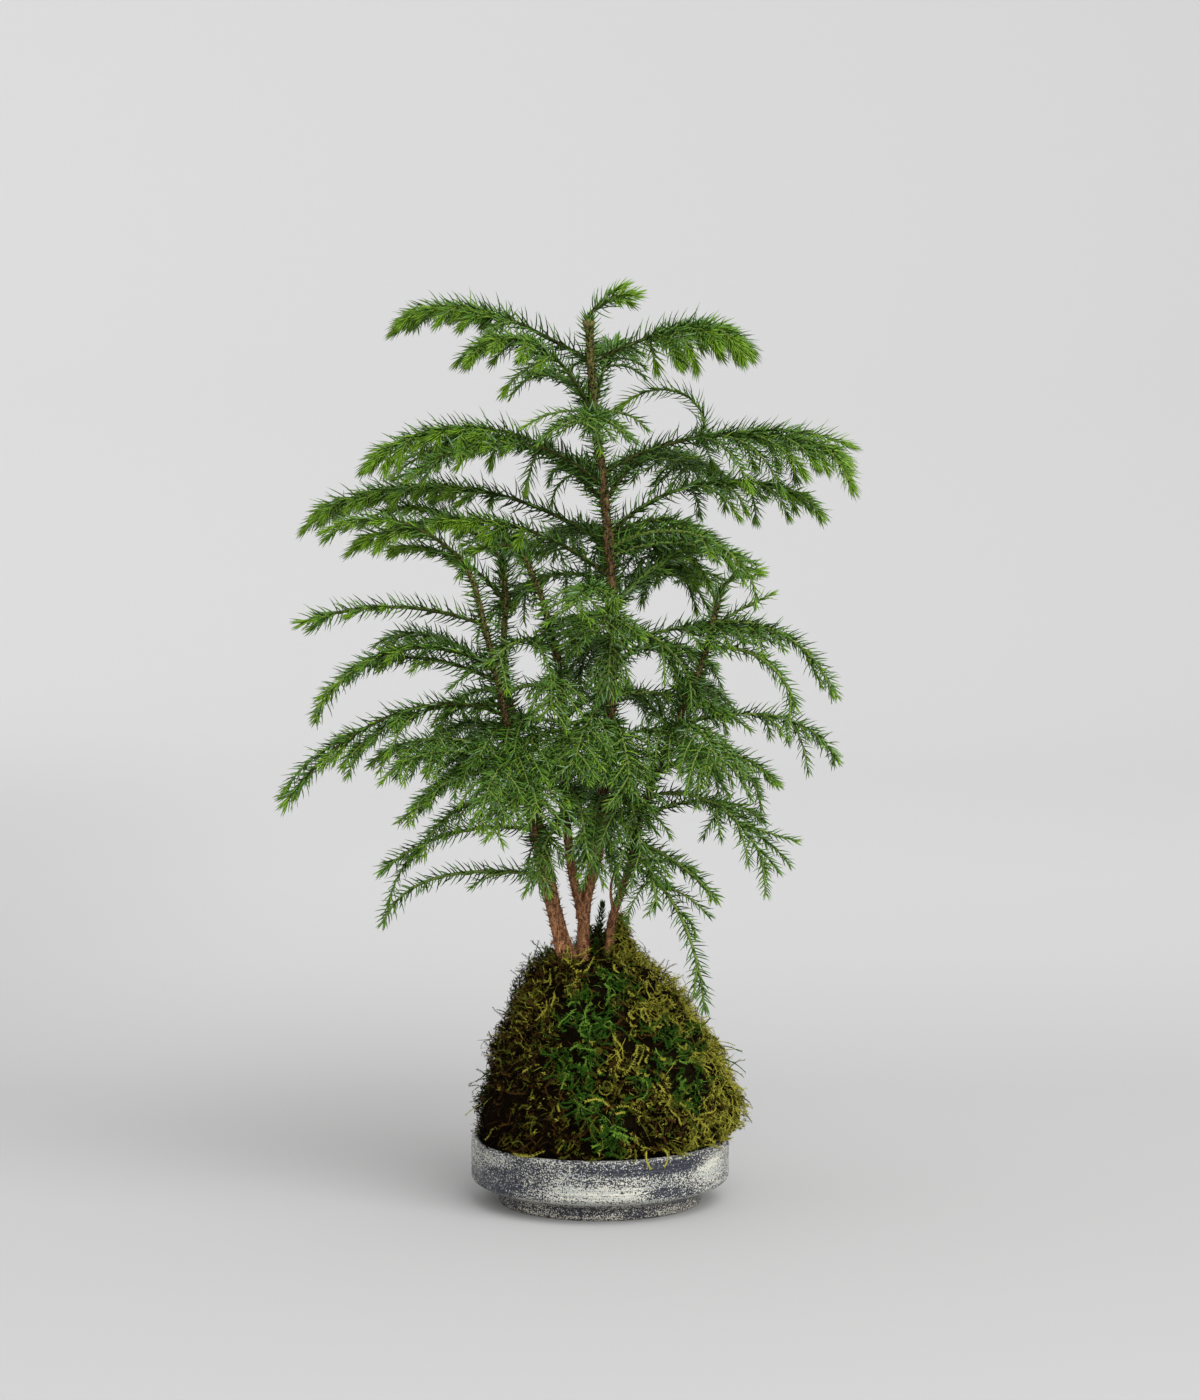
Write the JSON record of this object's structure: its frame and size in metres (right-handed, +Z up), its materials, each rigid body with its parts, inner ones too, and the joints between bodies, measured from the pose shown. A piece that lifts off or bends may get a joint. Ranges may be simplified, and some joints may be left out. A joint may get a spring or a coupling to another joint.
{
  "type": "norfolk island pine",
  "caption": "Young Norfolk Island pine with slender forking stems and tiers of arching needled branches, growing from a moss-covered root ball in a shallow glazed dish.",
  "frame": {"origin": "centre of the dish's flat underside, on the surface it stands on", "axes": "+Z up along the stems; -Y towards the side the plant is looked at from; +X to the right as seen from there"},
  "size_m": [0.3084, 0.2257, 0.4965],
  "materials": {
    "glaze": "satin speckled",
    "moss": "rough fibrous",
    "bark": "rough",
    "green_bark": "rough",
    "needles": "satin"
  },
  "bodies": {
    "root": {"bough_left_b1": "green_bark", "bough_right_b1": "green_bark", "bough_trunk_a2": "green_bark", "bough_trunk_b1": "green_bark", "bough_trunk_b3": "green_bark", "bough_trunk_b4": "green_bark", "dish": "glaze", "foliage_left_a1": "needles", "foliage_left_a2": "needles", "foliage_left_b1": "needles", "foliage_left_b2": "needles", "foliage_left_b3": "needles", "foliage_left_c1": "needles", "foliage_left_c2": "needles", "foliage_left_c3": "needles", "foliage_left_tip": "needles", "foliage_right_a1": "needles", "foliage_right_a2": "needles", "foliage_right_b1": "needles", "foliage_right_b2": "needles", "foliage_right_b3": "needles", "foliage_right_c1": "needles", "foliage_right_c2": "needles", "foliage_right_c3": "needles", "foliage_right_d1": "needles", "foliage_right_tip": "needles", "foliage_second_a1": "needles", "foliage_second_a2": "needles", "foliage_second_a3": "needles", "foliage_second_tip": "needles", "foliage_third_a1": "needles", "foliage_third_a2": "needles", "foliage_third_a3": "needles", "foliage_third_tip": "needles", "foliage_trunk_a1": "needles", "foliage_trunk_a2": "needles", "foliage_trunk_a3": "needles", "foliage_trunk_a4": "needles", "foliage_trunk_a5": "needles", "foliage_trunk_b1": "needles", "foliage_trunk_b2": "needles", "foliage_trunk_b3": "needles", "foliage_trunk_b4": "needles", "foliage_trunk_b5": "needles", "foliage_trunk_b6": "needles", "foliage_trunk_c1": "needles", "foliage_trunk_c2": "needles", "foliage_trunk_c4": "needles", "foliage_trunk_c5": "needles", "foliage_trunk_c6": "needles", "foliage_trunk_d2": "needles", "foliage_trunk_d3": "needles", "foliage_trunk_e1": "needles", "foliage_trunk_tip": "needles", "root_ball": "moss", "stem_left": "bark", "stem_right": "bark", "stem_second": "bark", "stem_third": "bark", "trunk": "bark"}
  },
  "joints": []
}
